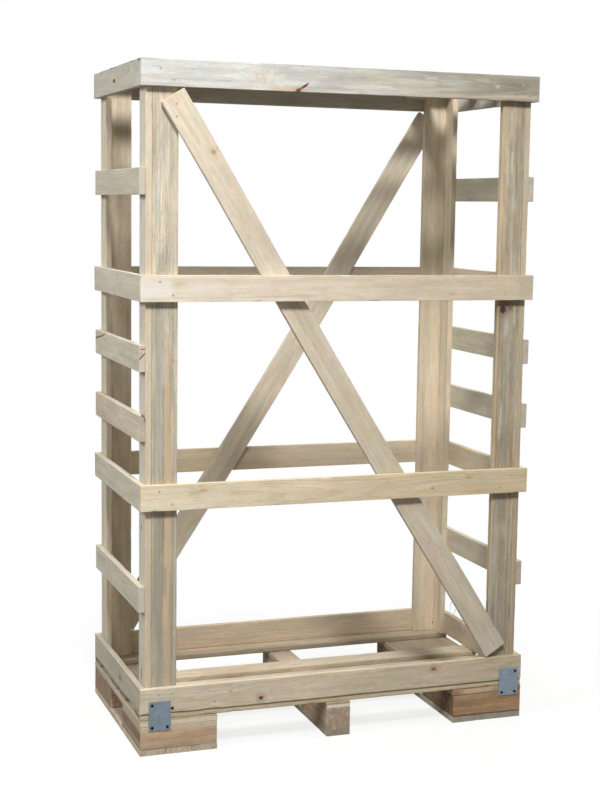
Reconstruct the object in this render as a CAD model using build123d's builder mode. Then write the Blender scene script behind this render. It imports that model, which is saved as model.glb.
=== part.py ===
"""An open shipping crate: a block pallet, a cage of nailed boards on it, and a lift-out lid.

Millimetres. +X right, +Z up, the front looks along -Y. The origin is at the centre of the
footprint, on the floor.
"""

import os
from math import cos, hypot, sin, atan2

from build123d import *

# ---- driving dimensions ---------------------------------------------------------------------
WIDTH = 1200.0  # outside of the crate, left to right
DEPTH = 620.0  # outside of the crate, front to rear
HEIGHT = 1945.0  # floor to the upper edge of the top rails

BOARD_W = 74.0  # every sawn board, across its face
BOARD_T = 18.0  # every sawn board, through

# pallet
BLOCK_H = 67.0  # foot blocks, between the bottom boards and the stringers
BLOCK_L = 228.0  # foot blocks, front to rear
BOTTOM_BOARDS = 3  # side by side under an outer foot
BOTTOM_GAP = 3.0  # between those boards
DECK_INNER_YS = (-77.0, 42.0)  # centre lines of the two inner deck boards

# cage
LOW_SLATS = 1  # side slats between the bottom rail and the lower belt
MIDDLE_SLATS = 2  # between the belts
HIGH_SLATS = 1  # between the upper belt and the top rail
BRACE_HOLD = 21.0  # brace centre line, past the inner edge of the post
BRACE_GAP = 1.0  # brace corner to the rail above or below it
BRACE_CLEAR = 0.5  # brace to the belts it passes behind
BRACE_BOW = 8.0  # further inward at its middle

# lid
LID_BOARDS = 4
LID_SIDE_CLEAR = 3.0  # lid to the top rails and the posts
LID_SEAT_CLEAR = 0.3  # lid boards over the post ends

# joining plates, each over the seam between the bottom rail and the pallet
PLATE_W = 64.0
PLATE_H = 85.0
PLATE_T = 2.0
PLATE_DROP = 49.0  # lower edge of the plate below the deck
PLATE_INSETS = (25.0, 12.0)  # left and right plate, from the end of the crate

# screws and nails
SCREW_EDGE = 10.0  # screw axis to the edges of its plate
SCREW_R = 2.2
SCREW_L = 34.0  # below the plate
SCREW_HEAD_R = 4.3
SCREW_HEAD_T = 2.0
SCREW_HOLE_CLEAR = 0.4  # hole in the plate round the screw
STRAY_SCREW_GAP = 5.0  # one screw went in beside its plate
STRAY_SCREW_DROP = 22.0  # below the upper edge of that plate
NAIL_R = 1.4
NAIL_HEAD_R = 3.2
NAIL_HEAD_T = 1.0
NAIL_PROUD = 0.3  # nail heads above the wood
NAIL_END_COVER = 2.0  # wood left beyond the nail point
BRACE_NAIL_DROPS = (8.0, 42.0)  # nails in the brace, below its centre line
POST_NAIL_GAPS = slice(0, None, 2)  # every second clear gap along a post has a nail
DECK_NAIL_INSET = 30.0  # from the inner edge of a foot

# ---- places worked out from them ------------------------------------------------------------
HALF_W = WIDTH / 2
HALF_D = DEPTH / 2
POST_X = HALF_W - BOARD_T  # outer faces of the posts
POST_Y = HALF_D - BOARD_T
FACE_X_OUT = POST_X - BOARD_T  # face board of a post, outer edge
FACE_X_IN = FACE_X_OUT - BOARD_W  # face board of a post, inner edge

FOOT_W = BOTTOM_BOARDS * BOARD_W + (BOTTOM_BOARDS - 1) * BOTTOM_GAP
BLOCK_Z = BOARD_T
STRINGER_Z = BLOCK_Z + BLOCK_H
DECK_Z = STRINGER_Z + BOARD_T
CAGE_Z = DECK_Z + BOARD_T  # the cage stands here

LID_TOP = HEIGHT
LID_Z = LID_TOP - BOARD_T
POST_TOP = LID_Z - LID_SEAT_CLEAR
NAIL_L = 2 * BOARD_T - NAIL_END_COVER  # through one board and into the next
NAIL_TOP = POST_TOP - BOARD_T / 2  # nails into the posts stay below their ends

# rails and belts: equal steps between the bottom rail and the top rail
LEVEL_NAMES = ("bottom_rail", "lower_belt", "upper_belt", "top_rail")
LEVEL_STEP = (HEIGHT - BOARD_W - CAGE_Z) / (len(LEVEL_NAMES) - 1)
LEVEL_ZS = [CAGE_Z + i * LEVEL_STEP for i in range(len(LEVEL_NAMES))]  # lower edges
LEVEL_CLEAR = LEVEL_STEP - BOARD_W

# side slats: equal gaps in each bay between two levels
SLAT_ZS = []
for level_z, slats in zip(LEVEL_ZS, (LOW_SLATS, MIDDLE_SLATS, HIGH_SLATS)):
    slat_gap = (LEVEL_CLEAR - slats * BOARD_W) / (slats + 1)
    SLAT_ZS += [level_z + BOARD_W + slat_gap + i * (slat_gap + BOARD_W) for i in range(slats)]

SIDES = {"left": -1, "right": 1}
FACES = {"front": -1, "rear": 1}


# ---- shared makers --------------------------------------------------------------------------
def save(piece, name):
    """Label a finished piece and write it."""
    piece.part.label = name
    export_step(piece.part, f"parts/{name}.step")


def make_boards(name, spans_x, span_y, span_z):
    """One node of straight boards that differ only in their left and right edges."""
    with BuildPart() as boards:
        with BuildSketch(Plane.XY.offset(span_z[0])):
            for low, high in spans_x:
                with Locations(((low + high) / 2, sum(span_y) / 2)):
                    Rectangle(high - low, span_y[1] - span_y[0])
        extrude(amount=span_z[1] - span_z[0])
    save(boards, name)


def make_board(name, span_x, span_y, span_z):
    """A straight board between its low and high X, Y and Z."""
    make_boards(name, [span_x], span_y, span_z)


def mirrored(sign, low, high):
    """The span low..high on the positive side, or its mirror image on the negative one."""
    return (low, high) if sign > 0 else (-high, -low)


def rise(low, height):
    """A span that starts at low."""
    return (low, low + height)


os.makedirs("parts", exist_ok=True)

# ---- pallet ---------------------------------------------------------------------------------
FULL_X = (-HALF_W, HALF_W)
FULL_Y = (-HALF_D, HALF_D)
FOOT_IN = HALF_W - FOOT_W  # inner edge of an outer foot
FEET = {
    "left": (-HALF_W, -FOOT_IN),
    "middle": (-BOARD_W / 2, BOARD_W / 2),
    "right": (FOOT_IN, HALF_W),
}

for foot, foot_x in FEET.items():
    make_board(f"stringer_{foot}", foot_x, FULL_Y, rise(STRINGER_Z, BOARD_T))
    for face, sign in FACES.items():
        block_y = mirrored(sign, HALF_D - BLOCK_L, HALF_D)
        make_board(f"block_{foot}_{face}", foot_x, block_y, rise(BLOCK_Z, BLOCK_H))

make_board("bottom_board_middle", FEET["middle"], FULL_Y, rise(0, BOARD_T))
for foot in SIDES:
    foot_low = FEET[foot][0]
    board_xs = [rise(foot_low + i * (BOARD_W + BOTTOM_GAP), BOARD_W) for i in range(BOTTOM_BOARDS)]
    make_boards(f"bottom_boards_{foot}", board_xs, FULL_Y, rise(0, BOARD_T))

edge_y = HALF_D - BOARD_W / 2
DECK_YS = (-edge_y, *DECK_INNER_YS, edge_y)
for number, deck_y in enumerate(DECK_YS, start=1):
    deck_span = (deck_y - BOARD_W / 2, deck_y + BOARD_W / 2)
    make_board(f"deck_board_{number}", FULL_X, deck_span, rise(DECK_Z, BOARD_T))

# ---- cage: corner posts ---------------------------------------------------------------------
POST_SPAN_Z = (CAGE_Z, POST_TOP)
for side, side_sign in SIDES.items():
    for face, face_sign in FACES.items():
        flat_x = mirrored(side_sign, FACE_X_OUT, POST_X)
        flat_y = mirrored(face_sign, POST_Y - BOARD_W, POST_Y)
        make_board(f"post_side_board_{side}_{face}", flat_x, flat_y, POST_SPAN_Z)
        wide_x = mirrored(side_sign, FACE_X_IN, FACE_X_OUT)
        wide_y = mirrored(face_sign, POST_Y - BOARD_T, POST_Y)
        make_board(f"post_face_board_{side}_{face}", wide_x, wide_y, POST_SPAN_Z)

# ---- cage: rails, belts and side slats ------------------------------------------------------
INNER_Y = (-POST_Y, POST_Y)
for level, level_z in zip(LEVEL_NAMES, LEVEL_ZS):
    for face, sign in FACES.items():
        face_y = mirrored(sign, POST_Y, HALF_D)
        make_board(f"{level}_{face}", FULL_X, face_y, rise(level_z, BOARD_W))
    for side, sign in SIDES.items():
        side_x = mirrored(sign, POST_X, HALF_W)
        make_board(f"{level}_{side}", side_x, INNER_Y, rise(level_z, BOARD_W))

for side, sign in SIDES.items():
    for number, slat_z in enumerate(SLAT_ZS, start=1):
        side_x = mirrored(sign, POST_X, HALF_W)
        make_board(f"slat_{side}_{number}", side_x, INNER_Y, rise(slat_z, BOARD_W))

# ---- cage: diagonal braces ------------------------------------------------------------------
# Each brace lies on the faces of two posts at its ends and passes behind both belts, so it
# bends inward by its own thickness on the way.
BRACE_MID_Z = (LEVEL_ZS[0] + BOARD_W + LEVEL_ZS[-1]) / 2
BRACE_ROOM = (LEVEL_ZS[-1] - LEVEL_ZS[0] - BOARD_W) / 2 - BRACE_GAP
BRACE_X = FACE_X_IN + BRACE_HOLD  # end of the centre line
BRACE_RISE = BRACE_ROOM
for _ in range(6):  # settles the height that its corner leaves
    BRACE_RISE = BRACE_ROOM - BOARD_W / 2 * BRACE_X / hypot(BRACE_X, BRACE_RISE)
BRACE_HALF = hypot(BRACE_X, BRACE_RISE)
BRACE_ANGLE = atan2(BRACE_RISE, BRACE_X)
half_across = BOARD_W / 2
BRACE_ON_POST = (FACE_X_IN - half_across * sin(BRACE_ANGLE)) / cos(BRACE_ANGLE)
belt_far = LEVEL_ZS[2] + BOARD_W - BRACE_MID_Z
BRACE_PAST_BELT = (belt_far + half_across * cos(BRACE_ANGLE)) / sin(BRACE_ANGLE)
BRACE_SINK = BOARD_T + BRACE_CLEAR

for face, sign in FACES.items():
    along = Vector(-sign * cos(BRACE_ANGLE), 0, -sin(BRACE_ANGLE))
    inward = Vector(0, -sign, 0)
    brace_plane = Plane(
        origin=(0, sign * HALF_D, BRACE_MID_Z), x_dir=along, z_dir=along.cross(inward)
    )
    with BuildPart() as brace:
        with BuildSketch(brace_plane):
            with BuildLine():
                for depth in (0, BOARD_T):
                    bend = Spline(
                        (-BRACE_ON_POST, depth),
                        (-BRACE_PAST_BELT, BRACE_SINK + depth),
                        (0, BRACE_SINK + BRACE_BOW + depth),
                        (BRACE_PAST_BELT, BRACE_SINK + depth),
                        (BRACE_ON_POST, depth),
                        tangents=((1, 0), (1, 0)),
                    )
                    Line((-BRACE_HALF, depth), bend @ 0)
                    Line(bend @ 1, (BRACE_HALF, depth))
                for end in (-BRACE_HALF, BRACE_HALF):
                    Line((end, 0), (end, BOARD_T))
            make_face()
        extrude(amount=half_across, both=True)
    save(brace, f"brace_{face}")

# ---- lid ------------------------------------------------------------------------------------
LID_HALF_X = POST_X - LID_SIDE_CLEAR
LID_HALF_Y = POST_Y - LID_SIDE_CLEAR
LID_STEP = (2 * LID_HALF_Y - BOARD_W) / (LID_BOARDS - 1)
BATTEN_X_OUT = FACE_X_IN - LID_SIDE_CLEAR
LID_YS = [-LID_HALF_Y + i * LID_STEP for i in range(LID_BOARDS)]
for number, lid_y in enumerate(LID_YS, start=1):
    lid_x = (-LID_HALF_X, LID_HALF_X)
    make_board(f"lid_board_{number}", lid_x, rise(lid_y, BOARD_W), rise(LID_Z, BOARD_T))
for side, sign in SIDES.items():
    batten_x = mirrored(sign, BATTEN_X_OUT - BOARD_W, BATTEN_X_OUT)
    batten_z = rise(LID_Z - BOARD_T, BOARD_T)
    make_board(f"lid_batten_{side}", batten_x, (-LID_HALF_Y, LID_HALF_Y), batten_z)

# ---- joining plates and their screws --------------------------------------------------------
PLATE_Z = CAGE_Z - PLATE_DROP  # lower edge
FACE_PLANES = {
    face: Plane(origin=(0, sign * HALF_D, 0), x_dir=(-sign, 0, 0), z_dir=(0, sign, 0))
    for face, sign in FACES.items()
}
PLATE_XS = (
    -HALF_W + PLATE_INSETS[0] + PLATE_W / 2,
    HALF_W - PLATE_INSETS[1] - PLATE_W / 2,
)
PLATE_MID_Z = PLATE_Z + PLATE_H / 2
SCREW_SPREAD_X = PLATE_W / 2 - SCREW_EDGE
SCREW_SPREAD_Z = PLATE_H / 2 - SCREW_EDGE
PLATE_SCREWS = []  # outer pair and the lower inner one of each plate
for plate_x in PLATE_XS:
    outer = SCREW_SPREAD_X if plate_x > 0 else -SCREW_SPREAD_X
    PLATE_SCREWS += [
        (plate_x + outer, PLATE_MID_Z + SCREW_SPREAD_Z),
        (plate_x + outer, PLATE_MID_Z - SCREW_SPREAD_Z),
        (plate_x - outer, PLATE_MID_Z - SCREW_SPREAD_Z),
    ]
STRAY_SCREW = (
    PLATE_XS[0] + PLATE_W / 2 + STRAY_SCREW_GAP,
    PLATE_Z + PLATE_H - STRAY_SCREW_DROP,
)

with BuildPart() as joining_plates:
    for plane in FACE_PLANES.values():
        with BuildSketch(plane):
            with Locations(*[(x, PLATE_MID_Z) for x in PLATE_XS]):
                Rectangle(PLATE_W, PLATE_H)
            with Locations(*PLATE_SCREWS):
                Circle(SCREW_R + SCREW_HOLE_CLEAR, mode=Mode.SUBTRACT)
        extrude(amount=PLATE_T)
save(joining_plates, "joining_plates")

with BuildPart() as plate_screws:
    for face, plane in FACE_PLANES.items():
        seats = [(PLATE_T, PLATE_SCREWS)]
        if face == "front":
            seats.append((0, [STRAY_SCREW]))
        for seat, points in seats:
            with BuildSketch(plane.offset(seat)):
                with Locations(*points):
                    Circle(SCREW_HEAD_R)
            extrude(amount=SCREW_HEAD_T)
            with BuildSketch(plane.offset(seat)):
                with Locations(*points):
                    Circle(SCREW_R)
            extrude(amount=-SCREW_L - seat)
save(plate_screws, "plate_screws")

# ---- nails ----------------------------------------------------------------------------------
QUARTER = BOARD_W / 4
SIDE_PLANES = {
    side: Plane(origin=(sign * HALF_W, 0, 0), x_dir=(0, sign, 0), z_dir=(sign, 0, 0))
    for side, sign in SIDES.items()
}
POST_PLANES = {side: plane.offset(-BOARD_T) for side, plane in SIDE_PLANES.items()}
DECK_PLANE = Plane.XY.offset(CAGE_Z)
LID_PLANE = Plane.XY.offset(LID_TOP)

# front and rear: two nails at each end of each level, into the face boards of the posts
face_x_mid = (FACE_X_IN + FACE_X_OUT) / 2
face_points = []
for level_z in LEVEL_ZS:
    upper = min(level_z + BOARD_W - QUARTER, NAIL_TOP)
    lower = level_z + QUARTER if level_z > CAGE_Z else upper  # plates cover the low places
    for sign in SIDES.values():
        face_points.append((sign * (face_x_mid + QUARTER), upper))
        face_points.append((sign * (face_x_mid - QUARTER), lower))
brace_nail_x = (FACE_X_IN + BRACE_X) / 2
for drop in BRACE_NAIL_DROPS:
    off_mid = brace_nail_x * BRACE_RISE / BRACE_X - drop
    face_points.append((-brace_nail_x, BRACE_MID_Z + off_mid))
    face_points.append((brace_nail_x, BRACE_MID_Z - off_mid))

# sides: two nails at each end of each level and slat, into the side boards of the posts
side_points = []
for low_z in (*LEVEL_ZS, *SLAT_ZS):
    for sign in FACES.values():
        high_nail = min(low_z + BOARD_W - QUARTER, NAIL_TOP)
        side_points.append((sign * (POST_Y - QUARTER), high_nail))
        side_points.append((sign * (POST_Y - BOARD_W + QUARTER), low_z + QUARTER))

# posts: side board to the edge of the face board, in the clear between levels and slats
CLEAR_ZS = sorted((*LEVEL_ZS, *SLAT_ZS))
post_nail_zs = [(low + BOARD_W + high) / 2 for low, high in zip(CLEAR_ZS, CLEAR_ZS[1:])]
post_points = []
for nail_z in post_nail_zs[POST_NAIL_GAPS]:
    for sign in FACES.values():
        post_points.append((sign * (POST_Y - BOARD_T / 2), nail_z))

# deck: two nails where each deck board crosses a stringer
deck_points = []
for deck_y in DECK_YS:
    for nail_x in (FOOT_IN + DECK_NAIL_INSET, QUARTER):
        for sign in SIDES.values():
            deck_points.append((sign * nail_x, deck_y + sign * BOARD_T / 2))

with BuildPart() as frame_nails:
    rows = [(plane, face_points) for plane in FACE_PLANES.values()]
    rows += [(plane, side_points) for plane in SIDE_PLANES.values()]
    rows += [(plane, post_points) for plane in POST_PLANES.values()]
    rows.append((DECK_PLANE, deck_points))
    for plane, points in rows:
        with BuildSketch(plane.offset(NAIL_PROUD)):
            with Locations(*points):
                Circle(NAIL_HEAD_R)
        extrude(amount=-NAIL_HEAD_T)
        with BuildSketch(plane):
            with Locations(*points):
                Circle(NAIL_R)
        extrude(amount=-NAIL_L)
save(frame_nails, "frame_nails")

# lid: two nails where each lid board crosses a batten
batten_mid = BATTEN_X_OUT - BOARD_W / 2
lid_points = []
for lid_y in LID_YS:
    for sign in SIDES.values():
        lid_points.append((sign * (batten_mid + QUARTER), lid_y + QUARTER))
        lid_points.append((sign * (batten_mid - QUARTER), lid_y + BOARD_W - QUARTER))

with BuildPart() as lid_nails:
    with BuildSketch(LID_PLANE.offset(NAIL_PROUD)):
        with Locations(*lid_points):
            Circle(NAIL_HEAD_R)
    extrude(amount=-NAIL_HEAD_T)
    with BuildSketch(LID_PLANE):
        with Locations(*lid_points):
            Circle(NAIL_R)
    extrude(amount=-NAIL_L)
save(lid_nails, "lid_nails")
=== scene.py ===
"""The shipping crate dressed: sawn pine boards, steel plates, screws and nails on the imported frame.

Metres. A board is made in its own axes, x along the grain, y across its face and z out of the
face that shows, and is then laid where its node lies. Marks on a board are given in those axes,
in millimetres from the middle of the board.
"""

import math
import random

import bmesh
import bpy
from mathutils import Matrix, Vector, noise


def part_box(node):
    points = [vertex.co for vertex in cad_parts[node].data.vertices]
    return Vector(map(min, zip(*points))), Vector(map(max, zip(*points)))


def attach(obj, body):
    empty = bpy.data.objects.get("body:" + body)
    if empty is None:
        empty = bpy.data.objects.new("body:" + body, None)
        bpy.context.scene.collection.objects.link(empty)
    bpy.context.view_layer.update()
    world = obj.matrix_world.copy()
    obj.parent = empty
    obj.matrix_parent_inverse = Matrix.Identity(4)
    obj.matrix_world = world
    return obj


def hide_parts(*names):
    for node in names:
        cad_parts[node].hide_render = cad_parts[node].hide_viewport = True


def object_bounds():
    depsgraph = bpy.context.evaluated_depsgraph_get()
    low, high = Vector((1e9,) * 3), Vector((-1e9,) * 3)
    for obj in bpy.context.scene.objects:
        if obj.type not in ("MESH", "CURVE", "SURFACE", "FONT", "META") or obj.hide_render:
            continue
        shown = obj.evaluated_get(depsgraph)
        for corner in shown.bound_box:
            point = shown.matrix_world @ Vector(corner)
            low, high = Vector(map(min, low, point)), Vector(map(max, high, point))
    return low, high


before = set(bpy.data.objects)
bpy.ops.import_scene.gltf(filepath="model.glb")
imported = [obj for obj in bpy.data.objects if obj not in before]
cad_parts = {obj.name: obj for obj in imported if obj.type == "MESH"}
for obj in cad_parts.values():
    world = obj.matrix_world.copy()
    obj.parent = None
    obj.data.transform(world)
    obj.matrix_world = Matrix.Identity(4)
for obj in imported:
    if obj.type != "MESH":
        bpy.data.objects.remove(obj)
cad_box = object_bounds()

X, Y, Z = Vector((1, 0, 0)), Vector((0, 1, 0)), Vector((0, 0, 1))
MM = 0.001


def add_object(name, data):
    """Puts a new object with that mesh, lamp or camera in the scene."""
    made = bpy.data.objects.new(name, data)
    bpy.context.scene.collection.objects.link(made)
    return made


# ---- camera ---------------------------------------------------------------------------------
IMAGE_W, IMAGE_H = 600, 800
SENSOR = 36.0
FOCAL_PX = 1544.8
MIDDLE_PX = (324.3, 398.3)  # where the lens axis meets the picture
CAMERA_PLACE = (-1.5795, -4.4409, 1.5519)
CAMERA_YAW = math.radians(20.18)  # to the right of +Y
CAMERA_PITCH = math.radians(-7.03)
CAMERA_ROLL = math.radians(0.93)
CLIP_START = 0.05


def add_camera():
    """The camera that looks at the crate from in front and a little to its left."""
    data = bpy.data.cameras.new("camera")
    camera = add_object("camera", data)
    turned = Matrix.Rotation(-CAMERA_YAW, 4, "Z")
    turned @= Matrix.Rotation(math.pi / 2 + CAMERA_PITCH, 4, "X")
    turned @= Matrix.Rotation(CAMERA_ROLL, 4, "Z")
    camera.matrix_world = Matrix.Translation(CAMERA_PLACE) @ turned
    data.sensor_width = SENSOR
    data.lens = FOCAL_PX / IMAGE_H * SENSOR
    data.shift_x = (IMAGE_W / 2 - MIDDLE_PX[0]) / IMAGE_H
    data.shift_y = (MIDDLE_PX[1] - IMAGE_H / 2) / IMAGE_H
    data.clip_start = CLIP_START
    bpy.context.scene.camera = camera


# ---- node trees -----------------------------------------------------------------------------
class Wire:
    """What comes out of a node. Arithmetic on wires adds the nodes that do it."""

    def __init__(self, socket):
        self.socket = socket
        self.tree = socket.id_data

    def __add__(self, other):
        return calc("ADD", self, other)

    def __sub__(self, other):
        return calc("SUBTRACT", self, other)

    def __mul__(self, other):
        return calc("MULTIPLY", self, other)

    def __truediv__(self, other):
        return calc("DIVIDE", self, other)


def feed(node, inputs):
    """Ties each input of a node to a wire, or sets it to a value."""
    for name, value in inputs.items():
        if isinstance(value, Wire):
            value.tree.links.new(value.socket, node.inputs[name])
        else:
            node.inputs[name].default_value = value


def new_node(tree, kind, inputs, **settings):
    """Adds a node, with its inputs and settings."""
    made = tree.nodes.new(kind)
    for name, value in settings.items():
        setattr(made, name, value)
    feed(made, inputs)
    return made


def tree_of(values):
    """The tree that the wires among the values are in."""
    return next(value.tree for value in values if isinstance(value, Wire))


def result(kind, inputs, output=0, **settings):
    """One output of a new node that stands in the tree of its inputs."""
    inputs = inputs if isinstance(inputs, dict) else dict(enumerate(inputs))
    return Wire(new_node(tree_of(inputs.values()), kind, inputs, **settings).outputs[output])


def source(tree, kind, output, **settings):
    """One output of a new node without inputs."""
    return Wire(new_node(tree, kind, {}, **settings).outputs[output])


def is_vector(value):
    vectors = ("VECTOR", "RGBA")
    return value.socket.type in vectors if isinstance(value, Wire) else isinstance(value, tuple)


def calc(operation, *values, clamp=False):
    """Vector math where one of the values is a vector or colour, or else plain math."""
    if any(map(is_vector, values)):
        output = "Value" if operation == "LENGTH" else "Vector"
        return result("ShaderNodeVectorMath", values, output, operation=operation)
    return result("ShaderNodeMath", values, operation=operation, use_clamp=clamp)


def split(vector):
    made = new_node(vector.tree, "ShaderNodeSeparateXYZ", {0: vector})
    return [Wire(socket) for socket in made.outputs]


def joined(*values):
    return result("ShaderNodeCombineXYZ", values)


def smooth(value, low, high):
    """0 below low, 1 above high, and a soft step between. Low may be above high."""
    return result("ShaderNodeMapRange", (value, low, high), interpolation_type="SMOOTHSTEP")


def mix(share, first, second, mode="MIX"):
    inputs = {0: share, 6: first, 7: second}
    return result("ShaderNodeMix", inputs, 2, data_type="RGBA", blend_type=mode)


def bump(height, strength, distance):
    inputs = {"Strength": strength, "Distance": distance, "Height": height}
    return result("ShaderNodeBump", inputs)


def attribute(tree, name, output="Fac"):
    return source(tree, "ShaderNodeAttribute", output, attribute_name=name)


def new_group(name, inputs, outputs):
    """An empty node group, the wires that come into it, and the node for its results."""
    group = bpy.data.node_groups.new(name, "ShaderNodeTree")
    for in_out, sockets in (("INPUT", inputs), ("OUTPUT", outputs)):
        for kind, names in sockets.items():
            for socket in names.split():
                socket_type = f"NodeSocket{kind}"
                group.interface.new_socket(socket, in_out=in_out, socket_type=socket_type)
    way_in = group.nodes.new("NodeGroupInput")
    given = {socket.name: Wire(socket) for socket in way_in.outputs[:-1]}
    return group, given, group.nodes.new("NodeGroupOutput")


def use_group(group, inputs):
    made = new_node(tree_of(inputs.values()), "ShaderNodeGroup", inputs, node_tree=group)
    return {socket.name: Wire(socket) for socket in made.outputs}


def new_material(name):
    material = bpy.data.materials.new(name)
    material.use_nodes = True
    return material, material.node_tree


def colour(rgb):
    return (*rgb, 1.0)


# ---- wood -----------------------------------------------------------------------------------
CLOUDS = {  # textures: scale along the grain and across it, detail, roughness
    "wander": (1.3, 3.0, 1.0, 0.5),  # of the pith along the tree
    "ripple": (9.0, 30.0, 2.0, 0.5),  # of the rings
    "fibre": (9.0, 800.0, 3.0, 0.65),
    "fleck": (38.0, 330.0, 3.0, 0.7),
    "stain": (1.3, 50.0, 2.0, 0.55),
    "warm": (1.0, 55.0, 3.0, 0.6),
    "blotch": (6.0, 30.0, 3.0, 0.6),
    "tone": (12.0, 70.0, 2.0, 0.6),
    "band": (2.5, 120.0, 2.0, 0.5),
    "saw": (420.0, 14.0, 1.0, 0.5),
    "knot edge": (260.0, 260.0, 2.0, 0.5),
    "streak edge": (7.0, 150.0, 3.0, 0.6),
    "drift edge": (3.0, 40.0, 2.0, 0.5),
    "grime": (30.0, 60.0, 4.0, 0.7),
}
OTHER_PLACE = (3.7, 1.9, 8.3)  # so that textures of a like scale don't coincide

WANDER = 0.045  # of the pith, across the grain
RIPPLE = 0.004
LATE_RISE = (0.25, 0.86)  # late wood comes in over this part of a year
LATE_DROP = (1.0, 0.90)
YEAR_SCALE = 0.35  # how fast good and bad years follow each other
YEAR_DETAIL = 1.0
YEAR_RANGE = (0.2, 0.75)
END_CONTRAST = 0.25  # more of the rings in end grain
END_DARK = -0.14
STAIN_RANGE = (0.40, 0.72)
WARM_RANGE = (0.44, 0.70)
BLOTCH = (0.9, 0.25)  # light and dark: what weather adds, and without it
FLECK = (0.9, 0.20)
BAND_FROM = 0.25  # weather beyond which dark bands show
BAND = 1.3
FIBRE = 0.45
TONE = (0.26, 0.15, 0.38)  # uneven red, green and blue
HEIGHTS = {"late": 0.35, "fibre": 0.55, "saw": 0.30}  # what stands up in the surface


def cloud(kind, place, output="Fac"):
    """One of the wood's textures, at a place."""
    along, across, detail, rough = CLOUDS[kind]
    inputs = {
        "Vector": place * (along, across, across), "Scale": 1.0, "Detail": detail,
        "Roughness": rough,
    }
    return result("ShaderNodeTexNoise", inputs, output)


def waver(kind, place, amount):
    """A texture that goes either way by up to half that amount."""
    return calc("MULTIPLY_ADD", cloud(kind, place), amount, -amount / 2)


def swing(kind, place, amount):
    """The same for a vector, with an amount for each axis."""
    return (cloud(kind, place, "Color") - (0.5, 0.5, 0.5)) * amount


def mottle(texture, amount):
    """A factor near 1 that follows a texture up and down by that amount."""
    return calc("MULTIPLY_ADD", texture - 0.5, amount, 1.0)


def pine_group():
    """The wood itself: growth rings, streaks and fibres, from a place in the log."""
    group, given, results = new_group(
        "pine",
        {
            "Vector": "Log",
            "Color": "Early Late Stain Warm",
            "Float": "Bulge End Ring Contrast Stained Warmed Weather",
        },
        {"Color": "Color", "Float": "Height"},
    )
    log, end, weather = given["Log"], given["End"], given["Weather"]
    other = log + OTHER_PLACE

    # rings round the pith, which wanders along the tree
    wander = swing("wander", log, (0.0, WANDER, WANDER))
    ripple = swing("ripple", log, (0.0, RIPPLE, RIPPLE))
    radius = calc("LENGTH", (log + (wander + ripple)) * (0.0, 1.0, 1.0))
    turn = (radius + given["Bulge"]) / given["Ring"]
    year = calc("FRACT", turn)
    inputs = {"W": turn, "Scale": YEAR_SCALE, "Detail": YEAR_DETAIL}
    years = result("ShaderNodeTexNoise", inputs, "Fac", noise_dimensions="1D")
    late = smooth(year, *LATE_RISE) * smooth(year, *LATE_DROP) * smooth(years, *YEAR_RANGE)
    shade = calc("MULTIPLY", late, given["Contrast"] + end * END_CONTRAST, clamp=True)
    tint = mix(shade, given["Early"], given["Late"])

    # streaks of another colour
    stained = smooth(cloud("stain", log), *STAIN_RANGE) * given["Stained"]
    tint = mix(stained, tint, given["Stain"])
    warmed = smooth(cloud("warm", other), *WARM_RANGE) * given["Warmed"]
    tint = mix(warmed, tint, given["Warm"])

    # light and dark
    fibre = cloud("fibre", log)
    banded = calc("MAXIMUM", weather - BAND_FROM, 0.0)
    light = calc("MULTIPLY_ADD", end, END_DARK, 1.0)
    for texture, amount in (
        (cloud("blotch", other), calc("MULTIPLY_ADD", weather, *BLOTCH)),
        (cloud("fleck", log), calc("MULTIPLY_ADD", weather, *FLECK)),
        (cloud("band", log), banded * BAND),
        (fibre, FIBRE),
    ):
        light = light * mottle(texture, amount)
    tint = mix(1.0, tint, joined(light, light, light), "MULTIPLY")
    tint = mix(1.0, tint, swing("tone", other, TONE) + (1.0, 1.0, 1.0), "MULTIPLY")

    # the saw leaves fine cross lines, and the late wood stands up
    height = 0.0
    for name, texture in {"fibre": fibre, "late": late, "saw": cloud("saw", log)}.items():
        height = calc("MULTIPLY_ADD", texture, HEIGHTS[name], height)
    feed(results, {"Color": tint, "Height": height})
    return group


# steps of a knot, in its own radii
CORE_EDGE = (1.15, 0.75)
RIM_EDGES = (0.65, 0.95), (1.3, 1.0)
HALO_EDGE = (4.2, 0.8)
KNOT_RAGGED = 0.7
PUSH_WIDTH = -0.13  # of the bell that pushes the rings aside
PUSH = 1.6


def knot_group():
    """A knot: how far it pushes the rings aside, where it lies, and its dark rim."""
    group, given, results = new_group(
        "knot", {"Vector": "Spot Middle", "Float": "Size Long Tilt"},
        {"Float": "Bulge Core Rim Halo"},
    )
    off = (given["Spot"] - given["Middle"]) * (1.0, 1.0, 0.0)
    inputs = {"Vector": off, "Angle": given["Tilt"]}
    x, y, _ = split(result("ShaderNodeVectorRotate", inputs, rotation_type="Z_AXIS"))
    far = calc("LENGTH", joined(x / given["Long"], y)) / given["Size"]
    far = far + waver("knot edge", given["Spot"], KNOT_RAGGED)
    inner, outer = (smooth(far, *edge) for edge in RIM_EDGES)
    feed(results, {
        "Core": smooth(far, *CORE_EDGE),
        "Rim": inner * outer,
        "Halo": smooth(far, *HALO_EDGE),
        "Bulge": calc("EXPONENT", far * (far * PUSH_WIDTH)) * (given["Size"] * PUSH),
    })
    return group


STREAK_SIDES = (1.25, 0.45)  # soft edges of a streak, in its own half width
STREAK_ENDS = (1.1, 0.55)  # and half length
STREAK_RAGGED = 0.9
ENDS_RAGGED = 0.4


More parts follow.
